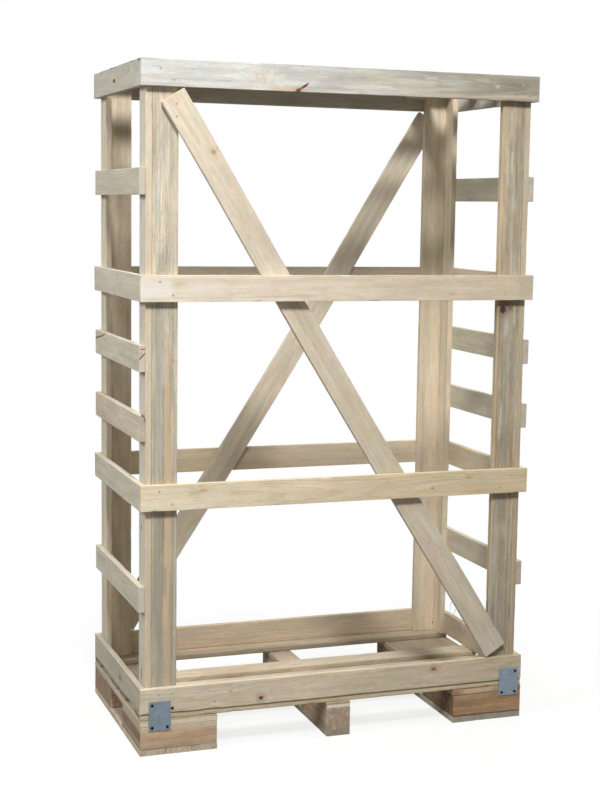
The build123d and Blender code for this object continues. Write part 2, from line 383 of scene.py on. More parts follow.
def streak_group():
    """A long mark along the grain, with ragged ends and edges."""
    group, given, results = new_group(
        "streak", {"Vector": "Spot Middle Half", "Float": "Slope"}, {"Float": "Share"}
    )
    x, y, _ = split(given["Spot"] - given["Middle"])
    half_x, half_y, _ = split(given["Half"])
    edge = waver("streak edge", given["Spot"], STREAK_RAGGED)
    across = calc("ABSOLUTE", y - x * given["Slope"]) / half_y + edge
    along = calc("ABSOLUTE", x / half_x) + edge * ENDS_RAGGED
    feed(results, {"Share": smooth(across, *STREAK_SIDES) * smooth(along, *STREAK_ENDS)})
    return group


PINE = pine_group()
KNOT = knot_group()
STREAK = streak_group()

DRIFT_RAGGED = 1.6  # of the change of tone along a board, in its half length
SAWN = (0.5, 0.9)  # of the end mark, from side grain to end grain
BARK_OFF = (0.8, 0.3)
END_SIDES = {"end": 0.1, "tail": -0.1}  # a mark is on the end in +x or the one in -x
GRIME_RANGE = (0.50, 0.78)
WOOD_ROUGH = (-0.12, 0.88)  # less rough where the grain stands up
WOOD_GLOSS = 0.25
WOOD_BUMP = (0.4, 0.5 * MM)


def board_tones(look, along, log, half_length):
    """Early and late wood, whose tone drifts from one end of the board to the other. On the front
    boards the drift is partly painted shade, for light that falls off towards the right.
    """
    reach = half_length * look["drift"]
    along = along + waver("drift edge", log, DRIFT_RAGGED * half_length)
    first, last = colour(look["tones"][0]), colour(look["tones"][-1])
    early = mix(smooth(along, -reach, reach), first, last)
    return early, mix(1.0, early, colour(look["late"]), "MULTIPLY")


def pine_material(name, node, half_length):
    """The colours of one board, from its look, knots and streaks. On some boards these streaks and
    tones hold painted shade and a painted highlight.
    """
    look = of_group(LOOKS, node)
    material, tree = new_material(name)
    tree.nodes.clear()
    spot, log = attribute(tree, "spot", "Vector"), attribute(tree, "log", "Vector")
    end, wane = attribute(tree, "end"), attribute(tree, "wane")
    x, y, z = split(spot)

    knots = [
        (use_group(KNOT, {"Spot": spot, **shape}), stains)
        for shape, stains in of_group(KNOTS, node, ())
    ]
    bulge = 0.0
    for made, _ in knots:
        bulge = made["Bulge"] + bulge
    early, late = board_tones(look, x, log, half_length)
    wood = use_group(PINE, {
        "Log": log, "Bulge": bulge, "End": end * look["end"],
        "Early": early, "Late": late, "Ring": look["ring"], "Contrast": look["contrast"],
        "Stain": colour(look["stain"]), "Stained": look["stained"],
        "Warm": colour(look["warm"]), "Warmed": look["warmed"], "Weather": look["weather"],
    })
    tint = wood["Color"]

    sawn = smooth(end, *SAWN)
    across = joined(z, y, x)
    spots = {"face": spot, "edge": joined(x, z, y), "end": across, "tail": across}
    for mark in of_group(STREAKS, node, ()):
        shape, streak_tint, share, on = streak(*mark)
        mask = use_group(STREAK, {"Spot": spots[on], **shape})["Share"] * share
        if on in END_SIDES:
            mask = mask * (sawn * smooth(x, 0.0, END_SIDES[on]))
        tint = mix(mask, tint, colour(streak_tint))
    for made, stains in knots:
        for part, share, added in stains:
            tint = mix(made[part] * share, tint, colour(added))
    tint = mix(wane * smooth(end, *BARK_OFF), tint, colour(BARK))
    grime = smooth(cloud("grime", log), *GRIME_RANGE) * look["dirt"]
    tint = mix(grime, tint, colour(DIRT))

    height = wood["Height"]
    shader = new_node(tree, "ShaderNodeBsdfPrincipled", {
        "Base Color": tint, "Specular IOR Level": WOOD_GLOSS,
        "Roughness": calc("MULTIPLY_ADD", height, *WOOD_ROUGH),
        "Normal": bump(height, *WOOD_BUMP),
    })
    new_node(tree, "ShaderNodeOutputMaterial", {0: Wire(shader.outputs[0])})
    return material


# ---- looks of the boards --------------------------------------------------------------------
# colours as linear values
PALE_CREAM = (0.80, 0.725, 0.60)
CREAM = (0.71, 0.615, 0.47)
PEACH = (0.72, 0.60, 0.43)
STRAW = (0.66, 0.555, 0.395)
TAN = (0.58, 0.485, 0.36)
BEIGE = (0.51, 0.44, 0.33)
BROWN = (0.33, 0.22, 0.13)
UMBER = (0.25, 0.22, 0.17)
DARK_UMBER = (0.24, 0.21, 0.16)
GREY_WHITE = (0.66, 0.66, 0.63)
GREY_BEIGE = (0.50, 0.465, 0.385)
GREY_GREEN = (0.42, 0.405, 0.325)
DARK_GREEN = (0.33, 0.31, 0.245)
GREY_BROWN = (0.36, 0.325, 0.26)
BLUE_GREY = (0.46, 0.48, 0.47)
HONEY = (0.62, 0.47, 0.30)
GREY_CREAM = (0.60, 0.545, 0.445)
SLAT_TAN = (0.62, 0.57, 0.46)
BRACE_PALE = (0.73, 0.65, 0.525)
BRACE_DARK = (0.54, 0.48, 0.38)
PALE_GREY = (0.62, 0.60, 0.54)
GREY_TAN = (0.47, 0.42, 0.33)
POST_BROWN = (0.325, 0.28, 0.215)
POST_TAN = (0.395, 0.34, 0.255)
OCHRE = (0.50, 0.35, 0.19)
RUSSET = (0.40, 0.22, 0.12)
HEARTWOOD = (0.56, 0.40, 0.26)
SAPWOOD = (0.62, 0.52, 0.38)
BARK = (0.19, 0.075, 0.045)
DARK_HEARTWOOD = (0.345, 0.22, 0.125)
BLOCK_BROWN = (0.53, 0.42, 0.315)
KNOT_BROWN = (0.17, 0.085, 0.045)
KNOT_DARK = (0.045, 0.022, 0.014)
DIRT = (0.16, 0.13, 0.10)

PLAIN = {
    "tones": (CREAM,),  # of the early wood, at the -x end and the +x end
    "drift": 0.8,  # share of the board over which they change
    "late": (0.78, 0.66, 0.50),  # late wood, as a factor on them
    "ring": 3.6 * MM,
    "contrast": 0.45,
    "stain": GREY_GREEN,
    "stained": 0.25,
    "warm": OCHRE,
    "warmed": 0.15,
    "dirt": 0.12,
    "weather": 0.25,
    "end": 1.0,  # how much the end grain differs
}


def like(base, *tones, **changes):
    """A look with other tones, or with other values in the fields given."""
    if tones:
        changes["tones"] = tones
    return {**base, **changes}


WEATHERED = like(
    PLAIN, GREY_BEIGE, stained=0.45, stain=BLUE_GREY, warmed=0.3, warm=TAN,
    late=(0.80, 0.75, 0.68), contrast=0.35, weather=0.45,
)
RAIL = like(PLAIN, warm=HONEY)
FRONT_RAIL = like(RAIL, drift=1.1, stained=0.05, warmed=0.45, contrast=0.6)
POST = like(RAIL, stained=0.45, warmed=0.2, contrast=0.3)
SLAT = like(PLAIN, SLAT_TAN, stained=0.3, contrast=0.4, weather=0.3)
BRACE = like(RAIL, BRACE_PALE, BRACE_DARK)
PALLET = like(
    PLAIN, TAN, BEIGE, stained=0.3, dirt=0.25, contrast=0.6, weather=0.35, end=2.0
)
BOTTOM = like(PALLET, TAN, dirt=0.4)
STRINGER = like(PALLET, BEIGE, warm=HONEY, warmed=0.4)
BLOCK = like(
    PLAIN, HEARTWOOD, stained=0.5, stain=BEIGE, warmed=0.4, warm=RUSSET,
    late=(0.70, 0.56, 0.45), contrast=0.6, dirt=0.3, weather=0.8, end=2.9,
)

LOOKS = {  # a board takes the entry with the longest name that starts its own, here and below
    "top_rail": WEATHERED,
    # On the front rails and belts the tone darkens from the left end to the right. This is partly
    # painted shade, for light that falls off to the right, and partly the boards' own tone.
    "top_rail_front": like(
        WEATHERED, GREY_WHITE, (0.36, 0.335, 0.275), drift=0.6, stained=0.3, warm=GREY_BEIGE,
        warmed=0.45, late=(0.80, 0.79, 0.77), contrast=0.4, weather=0.5,
    ),
    "top_rail_left": like(WEATHERED, stained=0.1, warmed=0.1, weather=0.3),
    "upper_belt": RAIL,
    "upper_belt_front": like(FRONT_RAIL, PALE_CREAM, (0.59, 0.505, 0.385)),
    "upper_belt_left": like(PLAIN, SLAT_TAN),
    "lower_belt": like(RAIL, CREAM, STRAW),
    "lower_belt_front": like(FRONT_RAIL, (0.81, 0.71, 0.535), (0.635, 0.535, 0.365)),
    "lower_belt_left": like(PLAIN, SLAT_TAN),
    "bottom_rail": like(RAIL, TAN),
    "bottom_rail_front": like(
        FRONT_RAIL, (0.70, 0.62, 0.50), (0.53, 0.45, 0.33), stained=0.15, warmed=0.4,
        dirt=0.16, weather=0.35,
    ),
    "bottom_rail_left": like(PLAIN, GREY_BEIGE, GREY_TAN, stained=0.3, weather=0.3),
    "post": POST,
    "post_face_board_left_front": like(
        POST, GREY_TAN, GREY_CREAM, drift=0.6, warmed=0.3, contrast=0.7, weather=0.85
    ),
    "post_side_board_left_front": like(POST, STRAW, PEACH, stained=0.15),
    # The right front post's dark tones are partly painted shade, for light that falls off to the
    # right, and partly its own tone.
    "post_face_board_right_front": like(
        POST, POST_BROWN, POST_TAN, drift=1.4, stained=0.6, warmed=0.5, contrast=0.7, weather=0.8
    ),
    "post_side_board_right_front": like(POST, POST_TAN, BEIGE, warmed=0.4),
    "slat": SLAT,
    "slat_left_2": like(SLAT, (0.61, 0.515, 0.41), (0.64, 0.575, 0.46)),
    "slat_left_4": like(SLAT, (0.58, 0.535, 0.43)),
    "brace": BRACE,
    "brace_front": like(BRACE, drift=1.0, stained=0.05, warmed=0.3),
    "stringer": STRINGER,
    "stringer_middle": like(PALLET, TAN, weather=0.2),
    "stringer_right": like(STRINGER, DARK_HEARTWOOD, BEIGE, drift=0.9),
    "bottom_board": BOTTOM,
    "bottom_board_middle": like(BOTTOM, GREY_TAN),
    "bottom_boards_left": like(
        BOTTOM, (0.67, 0.56, 0.42), TAN, dirt=0.35, weather=0.5, end=1.0
    ),
    "bottom_boards_right": like(BOTTOM, (0.51, 0.485, 0.41), GREY_TAN),
    "deck_board": PALLET,
    "deck_board_1": like(
        PALLET, (0.64, 0.535, 0.37), (0.60, 0.51, 0.36), drift=1.1, stained=0.1
    ),
    "block": BLOCK,
    "block_left_front": like(BLOCK, contrast=0.45, weather=0.5, end=3.9),
    "block_middle": like(BLOCK, BLOCK_BROWN, end=1.1),
    "block_right_front": like(BLOCK, DARK_HEARTWOOD),
    "lid_board": like(WEATHERED, BEIGE, GREY_BEIGE),
    "lid_batten": PALLET,
}


HALO_SHARE = 0.5
CORE_SHARE = 0.9


def knot(x, y, size, core=KNOT_BROWN, halo=RUSSET, long=1.3, tilt=0, share=1.0, rim=0.35):
    """A knot in the face: its middle and radius in mm, colours, length over width, degrees."""
    shape = {
        "Middle": (x * MM, y * MM, 0.0), "Size": size * MM, "Long": long,
        "Tilt": math.radians(tilt),
    }
    stains = (("Halo", HALO_SHARE, halo), ("Core", CORE_SHARE, core), ("Rim", rim, KNOT_DARK))
    return shape, [(part, amount * share, tint) for part, amount, tint in stains]


KNOTS = {
    "top_rail_front": (
        knot(-152, -32, 4, core=KNOT_BROWN, halo=OCHRE, long=1.5, rim=0.8),
        knot(462, 2, 6, core=GREY_WHITE, halo=GREY_BEIGE, long=1.6, share=0.35),
        knot(-262, -4, 9, core=PEACH, halo=PEACH, long=1.8, tilt=40, share=0.4),
    ),
    "top_rail_left": (
        knot(-24, -3, 5, core=KNOT_DARK, halo=BEIGE, long=3, rim=0.8),
        knot(168, 13, 4, core=GREY_BROWN, halo=BEIGE, long=3, share=0.6),
    ),
    "upper_belt_front": (knot(330, -18, 3, core=BROWN, long=2, share=0.35),),
    "lower_belt_front": (
        knot(-418, 17, 4.5, core=RUSSET, halo=OCHRE, long=2.2, tilt=-8, share=0.4),
        knot(286, -11, 2.6, core=BROWN, share=0.8),
        knot(402, 15, 3.5, core=BROWN, long=2.2, share=0.4),
    ),
    "bottom_rail_front": (
        knot(-242, -19, 5, core=KNOT_DARK, halo=RUSSET),
        knot(305, 18, 5, core=KNOT_BROWN, halo=RUSSET, long=1.5, share=0.85),
        knot(-382, -16, 2.4, core=BROWN, share=0.5),
        knot(-333, 10, 2.4, core=BROWN, share=0.5),
    ),
    "bottom_rail_left": (knot(54, -3, 7, core=DIRT, halo=GREY_BROWN, long=1.6, rim=0.2),),
    "brace_front": (
        knot(-775, 17, 6.5, core=RUSSET, halo=HONEY, long=1.2, share=0.7, rim=0.1),
        knot(-520, -12, 3, core=BROWN, long=2, share=0.25, rim=0.1),
    ),
    "post_face_board_left_front": (
        knot(335, 6, 5, core=GREY_CREAM, halo=GREY_CREAM, long=2.6, share=0.2),
        knot(420, 18, 5, core=GREY_CREAM, halo=GREY_CREAM, long=2, share=0.2),
        knot(300, -16, 4, core=GREY_CREAM, halo=GREY_CREAM, long=2.6, share=0.2),
        knot(130, 4, 4, core=GREY_CREAM, halo=GREY_CREAM, long=3, share=0.2),
        knot(99.6, -23.3, 3.6, core=OCHRE, halo=HONEY, share=0.8),
        knot(351, 9, 3, core=GREY_GREEN, halo=GREY_GREEN, share=0.7),
    ),
    "post_side_board_left_front": (
        knot(-375, 8, 2.8, core=DIRT, halo=GREY_BROWN, long=1.5, share=0.9),
        knot(-798, 4, 3, core=KNOT_DARK, halo=OCHRE, long=6, rim=0.5),
    ),
    "post_face_board_right_front": (
        knot(235, 17.6, 8.8, core=KNOT_DARK, halo=KNOT_BROWN, long=1.3),
        knot(239.4, -6.6, 4.4, halo=BROWN, share=0.8),
        knot(560, 10, 5, core=BEIGE, halo=BEIGE, long=2, share=0.2),
        knot(-20, 10, 5, core=POST_TAN, halo=POST_TAN, long=2.5, share=0.2),
    ),
}


def streak(x, y, half_x, half_y, tint, share, slope=0.0, on="face"):
    """Sorts one row of STREAKS, in mm, into its shape in metres, tint, share and side.

    On an edge y stands for the board's z. On an end or a tail x stands for it.
    """
    middle, half = (x * MM, y * MM, 0.0), (half_x * MM, half_y * MM, 1.0)
    return {"Middle": middle, "Half": half, "Slope": slope}, tint, share, on


# middle x and y, half length, half width, colour, share, slope, and the side if not the face
STREAKS = {
    "slat_left_1": ((0, 0, 100, 200, PALE_GREY, 0.6, 0, "end"),),
    "slat_left_3": (
        (-250, 16, 60, 3.4, KNOT_BROWN, 0.9, 0.15), (-175, 28, 28, 3, KNOT_BROWN, 0.9, 0.22),
        (0, 0, 100, 200, (0.68, 0.60, 0.52), 0.7, 0, "end"),
        (-2, 27, 9, 1.8, KNOT_BROWN, 0.9, -0.1, "end"), (0, 7, 11, 3, KNOT_BROWN, 1, -1.06, "end"),
        (3, 15, 4, 6, RUSSET, 0.4, 0, "end"),
    ),
    "slat_left_4": ((0, 0, 100, 200, (0.64, 0.57, 0.49), 0.6, 0, "end"),),
    # The dark upper half of each deck board's left end is painted shade, for the shade under the rail
    # that stands on the deck.
    "deck_board": ((4, 0, 5, 200, (0.10, 0.08, 0.05), 0.85, 0, "tail"),),
    "top_rail_front": (
        (-193, -31.5, 45, 5, HONEY, 0.8), (-141, -25.5, 21, 4.6, (0.12, 0.03, 0.018), 1, 0.67),
        (-150, -31.5, 13, 4.4, KNOT_DARK, 1, 0.67), (-124, -27, 14, 2.2, OCHRE, 0.6, 0.6),
        (-236, 2, 12, 14, GREY_WHITE, 0.7, 1.2), (252, 18, 22, 4, GREY_WHITE, 0.45),
        (330, 6, 50, 3, GREY_WHITE, 0.25, 0.15), (462, 2, 14, 5, GREY_WHITE, 0.35, -0.8),
        (150, 8, 120, 6, TAN, 0.6, -0.08), (300, -12, 160, 5, TAN, 0.6, 0.07),
        (380, -28, 220, 5, TAN, 0.6, 0.02), (530, 14, 100, 18, UMBER, 0.7),
        (555, -10, 50, 7, DARK_UMBER, 0.65, 0.08), (440, 24, 70, 4, POST_BROWN, 0.65, -0.22),
        (400, 12, 70, 4, POST_BROWN, 0.6, -0.18), (430, -21, 90, 4, POST_BROWN, 0.65, 0.07),
        (270, -3, 100, 3, GREY_BROWN, 0.5, -0.06), (400, 0, 60, 14, UMBER, 0.5),
        (500, 0, 70, 18, (0.22, 0.20, 0.155), 0.75), (345, 0, 35, 14, (0.40, 0.415, 0.41), 0.5),
        (210, 0, 70, 12, (0.66, 0.64, 0.56), 0.3), (-149, 6, 50, 14, BLUE_GREY, 0.6),
        (490, 4, 50, 3, (0.58, 0.53, 0.44), 0.2, -0.1), (500, -14, 100, 4, GREY_BROWN, 0.7, 0.1),
        (540, -33, 80, 4, POST_BROWN, 0.5), (581, -17, 22, 2.5, BROWN, 0.8, 0.33),
    ),
    "top_rail_left": (
        # The three near-black marks along the top edge, in the chips there, are painted shade in
        # those notches.
        (-44, 36.5, 40, 4, KNOT_DARK, 0.9), (209, 36.5, 30, 4, KNOT_DARK, 0.9),
        (287, 34, 16, 5, KNOT_DARK, 0.9), (195, 12, 20, 8, PALE_GREY, 0.5),
    ),
    "upper_belt_front": (
        (-180, -22, 110, 3, TAN, 0.7, 0.02), (-140, 12, 220, 8, (0.78, 0.67, 0.56), 0.5),
        # The nearly white patch at -560 mm, at the left end, is a painted highlight.
        (-560, 0, 60, 30, (0.86, 0.82, 0.76), 0.7), (-420, 0, 70, 25, (0.80, 0.75, 0.67), 0.5),
        (580, 0, 35, 40, BEIGE, 0.6), (460, -30, 120, 4, TAN, 0.5),
    ),
    "lower_belt_front": (
        (-442, 10, 22, 7, OCHRE, 0.35, 0.15), (-385, 0, 50, 13, (0.83, 0.76, 0.63), 0.4, -0.05),
    ),
    "bottom_rail_left": (
        # The two near-black streaks at -37.5 and -37 mm, along the lower edge, are painted shade, for
        # the shadow in the seam over the deck. The wider one is where a chip opens that seam near the
        # front.
        (54, 6, 12, 12, GREY_BROWN, 0.5), (-50, -37.5, 300, 3.2, KNOT_DARK, 0.85),
        (240, -37, 100, 5.5, (0.07, 0.045, 0.03), 0.9),
    ),
    "brace_front": (
        (500, 16, 70, 10, PALE_GREY, 0.4), (-955, 0, 20, 30, HONEY, 0.3),
        (930, 0, 40, 40, PALE_GREY, 0.35),
    ),
    "post_face_board_left_front": (
        (20, 20, 270, 15, GREY_GREEN, 0.6), (-460, 20, 280, 14, DARK_GREEN, 0.65),
        (-760, 14, 160, 14, DARK_GREEN, 0.6), (130, -4, 50, 9, HONEY, 0.55),
        (-80, -9, 190, 11, HONEY, 0.75), (-280, -12, 150, 9, HONEY, 0.65),
        (-460, -8, 240, 10, HONEY, 0.9, -0.02), (-460, 4.5, 240, 2.5, BROWN, 0.35, -0.02),
        (-750, -10, 140, 10, HONEY, 0.6), (-100, 3, 190, 2, BROWN, 0.25),
        (-400, -31, 400, 3.5, CREAM, 0.4), (-20, 10, 200, 2, BLUE_GREY, 0.6),
        (-200, 20, 160, 3, BLUE_GREY, 0.5), (-140, 29, 120, 2, GREY_BROWN, 0.5),
        (-550, 12, 200, 2, GREY_BROWN, 0.5), (450, -28, 300, 4, CREAM, 0.5),
        (650, -7, 50, 8, CREAM, 0.4), (76, 0, 50, 12, (0.66, 0.61, 0.50), 0.4),
        (-524, 0, 50, 8, (0.30, 0.30, 0.25), 0.5), (540, 23, 60, 8, BLUE_GREY, 0.4),
        (0, -15.5, 120, 2, BROWN, 0.3), (-460, -24, 250, 5, GREY_BROWN, 0.45),
    ),
    "post_side_board_left_front": ((0, 0, 1100, 35, PALE_GREY, 0.8),),
    "post_face_board_right_front": (
        (100, 33, 900, 4, HONEY, 0.6), (780, 6, 45, 4, PALE_GREY, 0.45),
        (670, 2, 40, 4, PALE_CREAM, 0.45), (660, 16, 60, 5, PALE_GREY, 0.4),
        (745, 12, 22, 6, HEARTWOOD, 0.5), (550, -4, 35, 5, BLUE_GREY, 0.5),
        (440, -4, 100, 3, GREY_CREAM, 0.5), (740, -20, 50, 14, DARK_UMBER, 0.4),
        # The streak at 245 mm darkens nearly the whole width just under the upper belt. It is painted
        # shade, laid over the knots' own dark.
        (470, -14, 70, 10, (0.33, 0.24, 0.14), 0.5), (245, -4, 22, 34, (0.20, 0.165, 0.12), 0.5),
        (190, 6, 45, 8, PALE_GREY, 0.4), (220, -22, 40, 4, STRAW, 0.6),
        (50, -6, 180, 2.5, GREY_GREEN, 0.6), (-100, 16, 60, 5, STRAW, 0.6, -0.06),
        (-520, 0, 70, 14, (0.27, 0.22, 0.14), 0.5), (-374, 0, 50, 14, (0.24, 0.21, 0.155), 0.4),
        (630, 0, 40, 10, (0.55, 0.47, 0.34), 0.35),
    ),
    "block_left_front": (
        (0, 30, 160, 14, SAPWOOD, 0.85, 0, "edge"), (-80, -20, 60, 8, TAN, 0.4, 0, "edge"),
        (50, -27, 100, 4, GREY_BROWN, 0.4, 0, "edge"),
    ),
    "block_right_front": (
        (0, -31, 160, 4, KNOT_BROWN, 0.8, 0, "edge"), (-40, 22, 60, 7, TAN, 0.2, 0, "edge"),
        (100, 10, 40, 12, RUSSET, 0.5, 0, "edge"),
    ),
    "stringer_middle": ((-3, 0, 6, 200, (0.90, 0.80, 0.70), 0.85, 0, "tail"),),
    "stringer_left": ((-2, 0, 9, 200, (0.80, 0.69, 0.52), 0.75, 0, "tail"),),
    "stringer_right": ((2, 30, 9, 70, (0.66, 0.51, 0.34), 0.75, 0, "tail"),),
}


# ---- board meshes ---------------------------------------------------------------------------
STATION = 12 * MM  # between sections along a board
FACE_POINTS = 6  # between the corners, across a wide face
EDGE_POINTS = 2  # between the corners, across an edge
ARC_POINTS = 3  # round each corner
ARRIS = 0.6 * MM  # usual rounding of a sawn corner
ARRIS_WORN = 0.9 * MM  # more, where it is worn
ARRIS_LEFT = 0.05 * MM  # at least, at the rounded ends
WORN_SCALE = (9, 7.3)  # of the wear, along the board and from corner to corner
WORN_SHARE = 0.25
CHIP_EVERY = 0.28  # metres of arris to one chip
CHIP_COUNT = (0.4, 1.3)  # of that many
CHIP_DEPTH = (1.0 * MM, 3.0 * MM)
CHIP_HALF = (8 * MM, 30 * MM)
CHIP_FREE = 30 * MM  # at each end
CUT_LIMIT = 1.9  # of half the thickness, for a chip or a wane
SHRINK = 0.15 * MM  # every face lies this far inside its solid
WAVE = 0.25 * MM  # and waves inward by up to this
WAVE_SCALE = (5, 22)  # along the grain and across it
END_ROUND = 0.9 * MM
END_CLEAR = 3 * END_ROUND  # from the end to the first plain section
END_STEPS = ((0, 1, 1), (0.3, 0.3, 0.4), (1, 0, 0))  # off the end, inset in END_ROUND, end mark
END_SLANT = 0.5 * MM  # of a sawn end, across the board
END_REACH = 20 * MM  # part of the board that is shortened by it
PITH_SIDE = 0.9  # of half the width
PITH_BEHIND = (15 * MM, 65 * MM)
LOG_PLACES = 50  # metres, from which a board's place in the noise is drawn
BARK_FULL = 2.5  # the bark covers the wane from 1 / this of its length
CORNERS = ((1, 1), (-1, 1), (-1, -1), (1, -1))


def skin(mesh, rings, capped=True):
    """Faces between rings of points, and over the first and last ring."""
    count = len(rings[0])
    for first, second in zip(rings, rings[1:]):
        for i in range(count):
            j = (i + 1) % count
            mesh.faces.new((first[i], second[i], second[j], first[j]))
    if capped:
        mesh.faces.new(rings[0])
        mesh.faces.new(list(reversed(rings[-1])))


def section(half_y, half_z, rounds, talls, inset):
    """The points round one section, from the four corner roundings."""
    rounds = [max(round_off, inset + ARRIS_LEFT) for round_off in rounds]
    middles = [
        (side_y * (half_y - round_off * tall), side_z * (half_z - round_off))
        for (side_y, side_z), round_off, tall in zip(CORNERS, rounds, talls)
    ]
    points = []
    for index, (side_y, side_z) in enumerate(CORNERS):
        mid_y, mid_z = middles[index]
        reach = rounds[index] - inset
        first = math.atan2(side_z, side_y) - math.pi / 4
        for step in range(ARC_POINTS):
            angle = first + step * math.pi / 2 / (ARC_POINTS - 1)
            off_y, off_z = reach * talls[index] * math.cos(angle), reach * math.sin(angle)
            points.append((mid_y + off_y, mid_z + off_z))
        next_y, next_z = middles[(index + 1) % len(CORNERS)]
        on_face = index % 2 == 0
        count = FACE_POINTS if on_face else EDGE_POINTS
        for step in range(1, count + 1):
            share = step / (count + 1)
            if on_face:
                points.append((mid_y + (next_y - mid_y) * share, side_z * (half_z - inset)))
            else:
                points.append((side_y * (half_y - inset), mid_z + (next_z - mid_z) * share))
    return points


class Board:
    """One sawn board in its own axes, to be laid into a mesh."""

    def __init__(self, size, seed, arris=ARRIS, chips=(), wane=None, dip=None):
        self.half = [extent / 2 for extent in size]
        self.arris = arris
        self.draw = random.Random(seed)
        self.offset = Vector([self.draw.uniform(-LOG_PLACES, LOG_PLACES) for _ in range(3)])
        self.wane = wane
        self.talls = [1.0] * len(CORNERS)
        if wane:
            self.talls[wane["corner"]] = wane["tall"]
        self.dip = dip
        self.chips = [self.place_chips() for _ in CORNERS]
        for corner, x, half, depth in chips:
            self.chips[corner].append((x * MM, half * MM, depth * MM))
        self.slants = [self.draw.uniform(-END_SLANT, END_SLANT) for _ in range(4)]
        across = self.half[1] * self.draw.uniform(-PITH_SIDE, PITH_SIDE)
        self.pith = (across, -self.half[2] - self.draw.uniform(*PITH_BEHIND))

    def place_chips(self):
        count = round(2 * self.half[0] / CHIP_EVERY * self.draw.uniform(*CHIP_COUNT))
        reach = self.half[0] - CHIP_FREE
        ranges = ((-reach, reach), CHIP_HALF, CHIP_DEPTH)
        return [tuple(self.draw.uniform(*span) for span in ranges) for _ in range(count)]

    def wane_share(self, x):
        """0 before the wane, 1 beyond it."""
        start, stop = self.wane["span"]
        return min(max((x - start) / (stop - start), 0), 1)

    def rounding(self, x, corner):
        place = Vector((x * WORN_SCALE[0], corner * WORN_SCALE[1], 0))
        worn = noise.noise(place + self.offset)
        value = self.arris + ARRIS_WORN * max(0, worn + WORN_SHARE)
        for middle, half, depth in self.chips[corner]:
            off = (x - middle) / half
            if abs(off) < 1:
                value += depth * (1 - off * off) ** 2
        if self.wane and corner == self.wane["corner"]:
            value += self.wane["depth"] * self.wane_share(x) ** 2
        return min(value, self.half[2] * CUT_LIMIT)

    def stations(self):
        """Places along the board, each with its inset and its end mark."""
        inner = self.half[0] - END_CLEAR
        count = max(2, round(2 * inner / STATION))
        steps = [(off * END_ROUND, inset * END_ROUND, end) for off, inset, end in END_STEPS]
        left = [(off - self.half[0], inset, end) for off, inset, end in steps]
        marks = [(-inner + 2 * inner * i / count, 0.0, 0) for i in range(count + 1)]
        right = [(self.half[0] - off, inset, end) for off, inset, end in reversed(steps)]
        return left + marks + right

    def inward(self, x, y, z):
        """How far the surface lies inside its solid here."""
        along, across = WAVE_SCALE
        point = Vector((x * along, y * across, z * across)) + self.offset
        return SHRINK + WAVE * (0.5 + 0.5 * noise.noise(point))

    def lay(self, mesh, layers, axes, middle, log_shift):
        """Adds the board to a bmesh, along axes from its middle."""
        pith = Vector((-log_shift, *self.pith))
        rings = []
        for x, inset, end in self.stations():
            rounds = [self.rounding(x, corner) for corner in range(len(CORNERS))]
            near = max(0.0, 1 - (self.half[0] - abs(x)) / END_REACH)
            far_end = x >= 0
            ring = []
            for y, z in section(self.half[1], self.half[2], rounds, self.talls, inset):
                inward = self.inward(x, y, z)
                slant = self.slants[far_end] * y / self.half[1]
                slant += self.slants[2 + far_end] * z / self.half[2]
                along = x - math.copysign((END_SLANT * 2 + slant) * near, x)
                flat_y = y - math.copysign(min(inward, abs(y)), y)
                flat_z = z - math.copysign(min(inward, abs(z)), z)
                shown_z = flat_z - (self.dip(along) if self.dip else 0.0)
                place = middle + axes[0] * along + axes[1] * flat_y + axes[2] * shown_z
                vert = mesh.verts.new(place)
                spot = Vector((along, flat_y, flat_z))
                vert[layers["spot"]] = spot
                vert[layers["log"]] = spot - pith
                vert[layers["end"]] = end
                ring.append(vert)
            if self.wane:
                self.mark_wane(ring, layers["wane"], x)
            rings.append(ring)
        skin(mesh, rings)

    def mark_wane(self, ring, layer, x):
        """Bark shows where the round of the log cuts the corner."""
        before = range(self.wane["corner"])
        first = sum(ARC_POINTS + (EDGE_POINTS if i % 2 else FACE_POINTS) for i in before)
        for vert in ring[first:first + ARC_POINTS]:
            vert[layer] = min(1.0, self.wane_share(x) * BARK_FULL)


LAYERS = {"spot": "float_vector", "log": "float_vector", "end": "float", "wane": "float"}


def new_mesh():
    mesh = bmesh.new()
    verts = mesh.verts.layers
    layers = {name: getattr(verts, kind).new(name) for name, kind in LAYERS.items()}
    return mesh, layers


def finish_piece(mesh, name, material, body):
    """Turns a bmesh into a piece that rides on a body."""
    bmesh.ops.recalc_face_normals(mesh, faces=mesh.faces)
    for face in mesh.faces:
        face.smooth = True
    data = bpy.data.meshes.new(name)
    mesh.to_mesh(data)
    mesh.free()
    piece = add_object(name, data)
    data.materials.append(material)
    even = piece.modifiers.new("even", "WEIGHTED_NORMAL")
    even.keep_sharp = True
    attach(piece, body)
    return piece


def of_group(table, node, default=None):
    """The entry of the longest group name that starts the node's name."""
    fits = [key for key in table if node.startswith(key)]
    return table[max(fits, key=len)] if fits else default


OUTWARD = {"front": -Y, "rear": Y, "left": -X, "right": X}
FLAT_LYING = ("stringer", "block", "bottom_board", "deck_board", "lid")
SIDE_WORDS = {"slat": 1, "post_side": 3}  # where a name says the side, if not last


def axes_of(node, size):
    """The board's own axes: along the grain, across its face, out of its face."""
    longest = max(range(3), key=lambda i: size[i])
    if node.startswith("block"):
        longest = 1 if "middle" in node else 0
    if node.startswith(FLAT_LYING):
        along = (X, Y)[longest]
        return along, Z.cross(along), Z
    out = OUTWARD[node.split("_")[of_group(SIDE_WORDS, node, -1)]]
    if longest == 2:
        return Z, out.cross(Z), out
    return Z.cross(out), Z, out


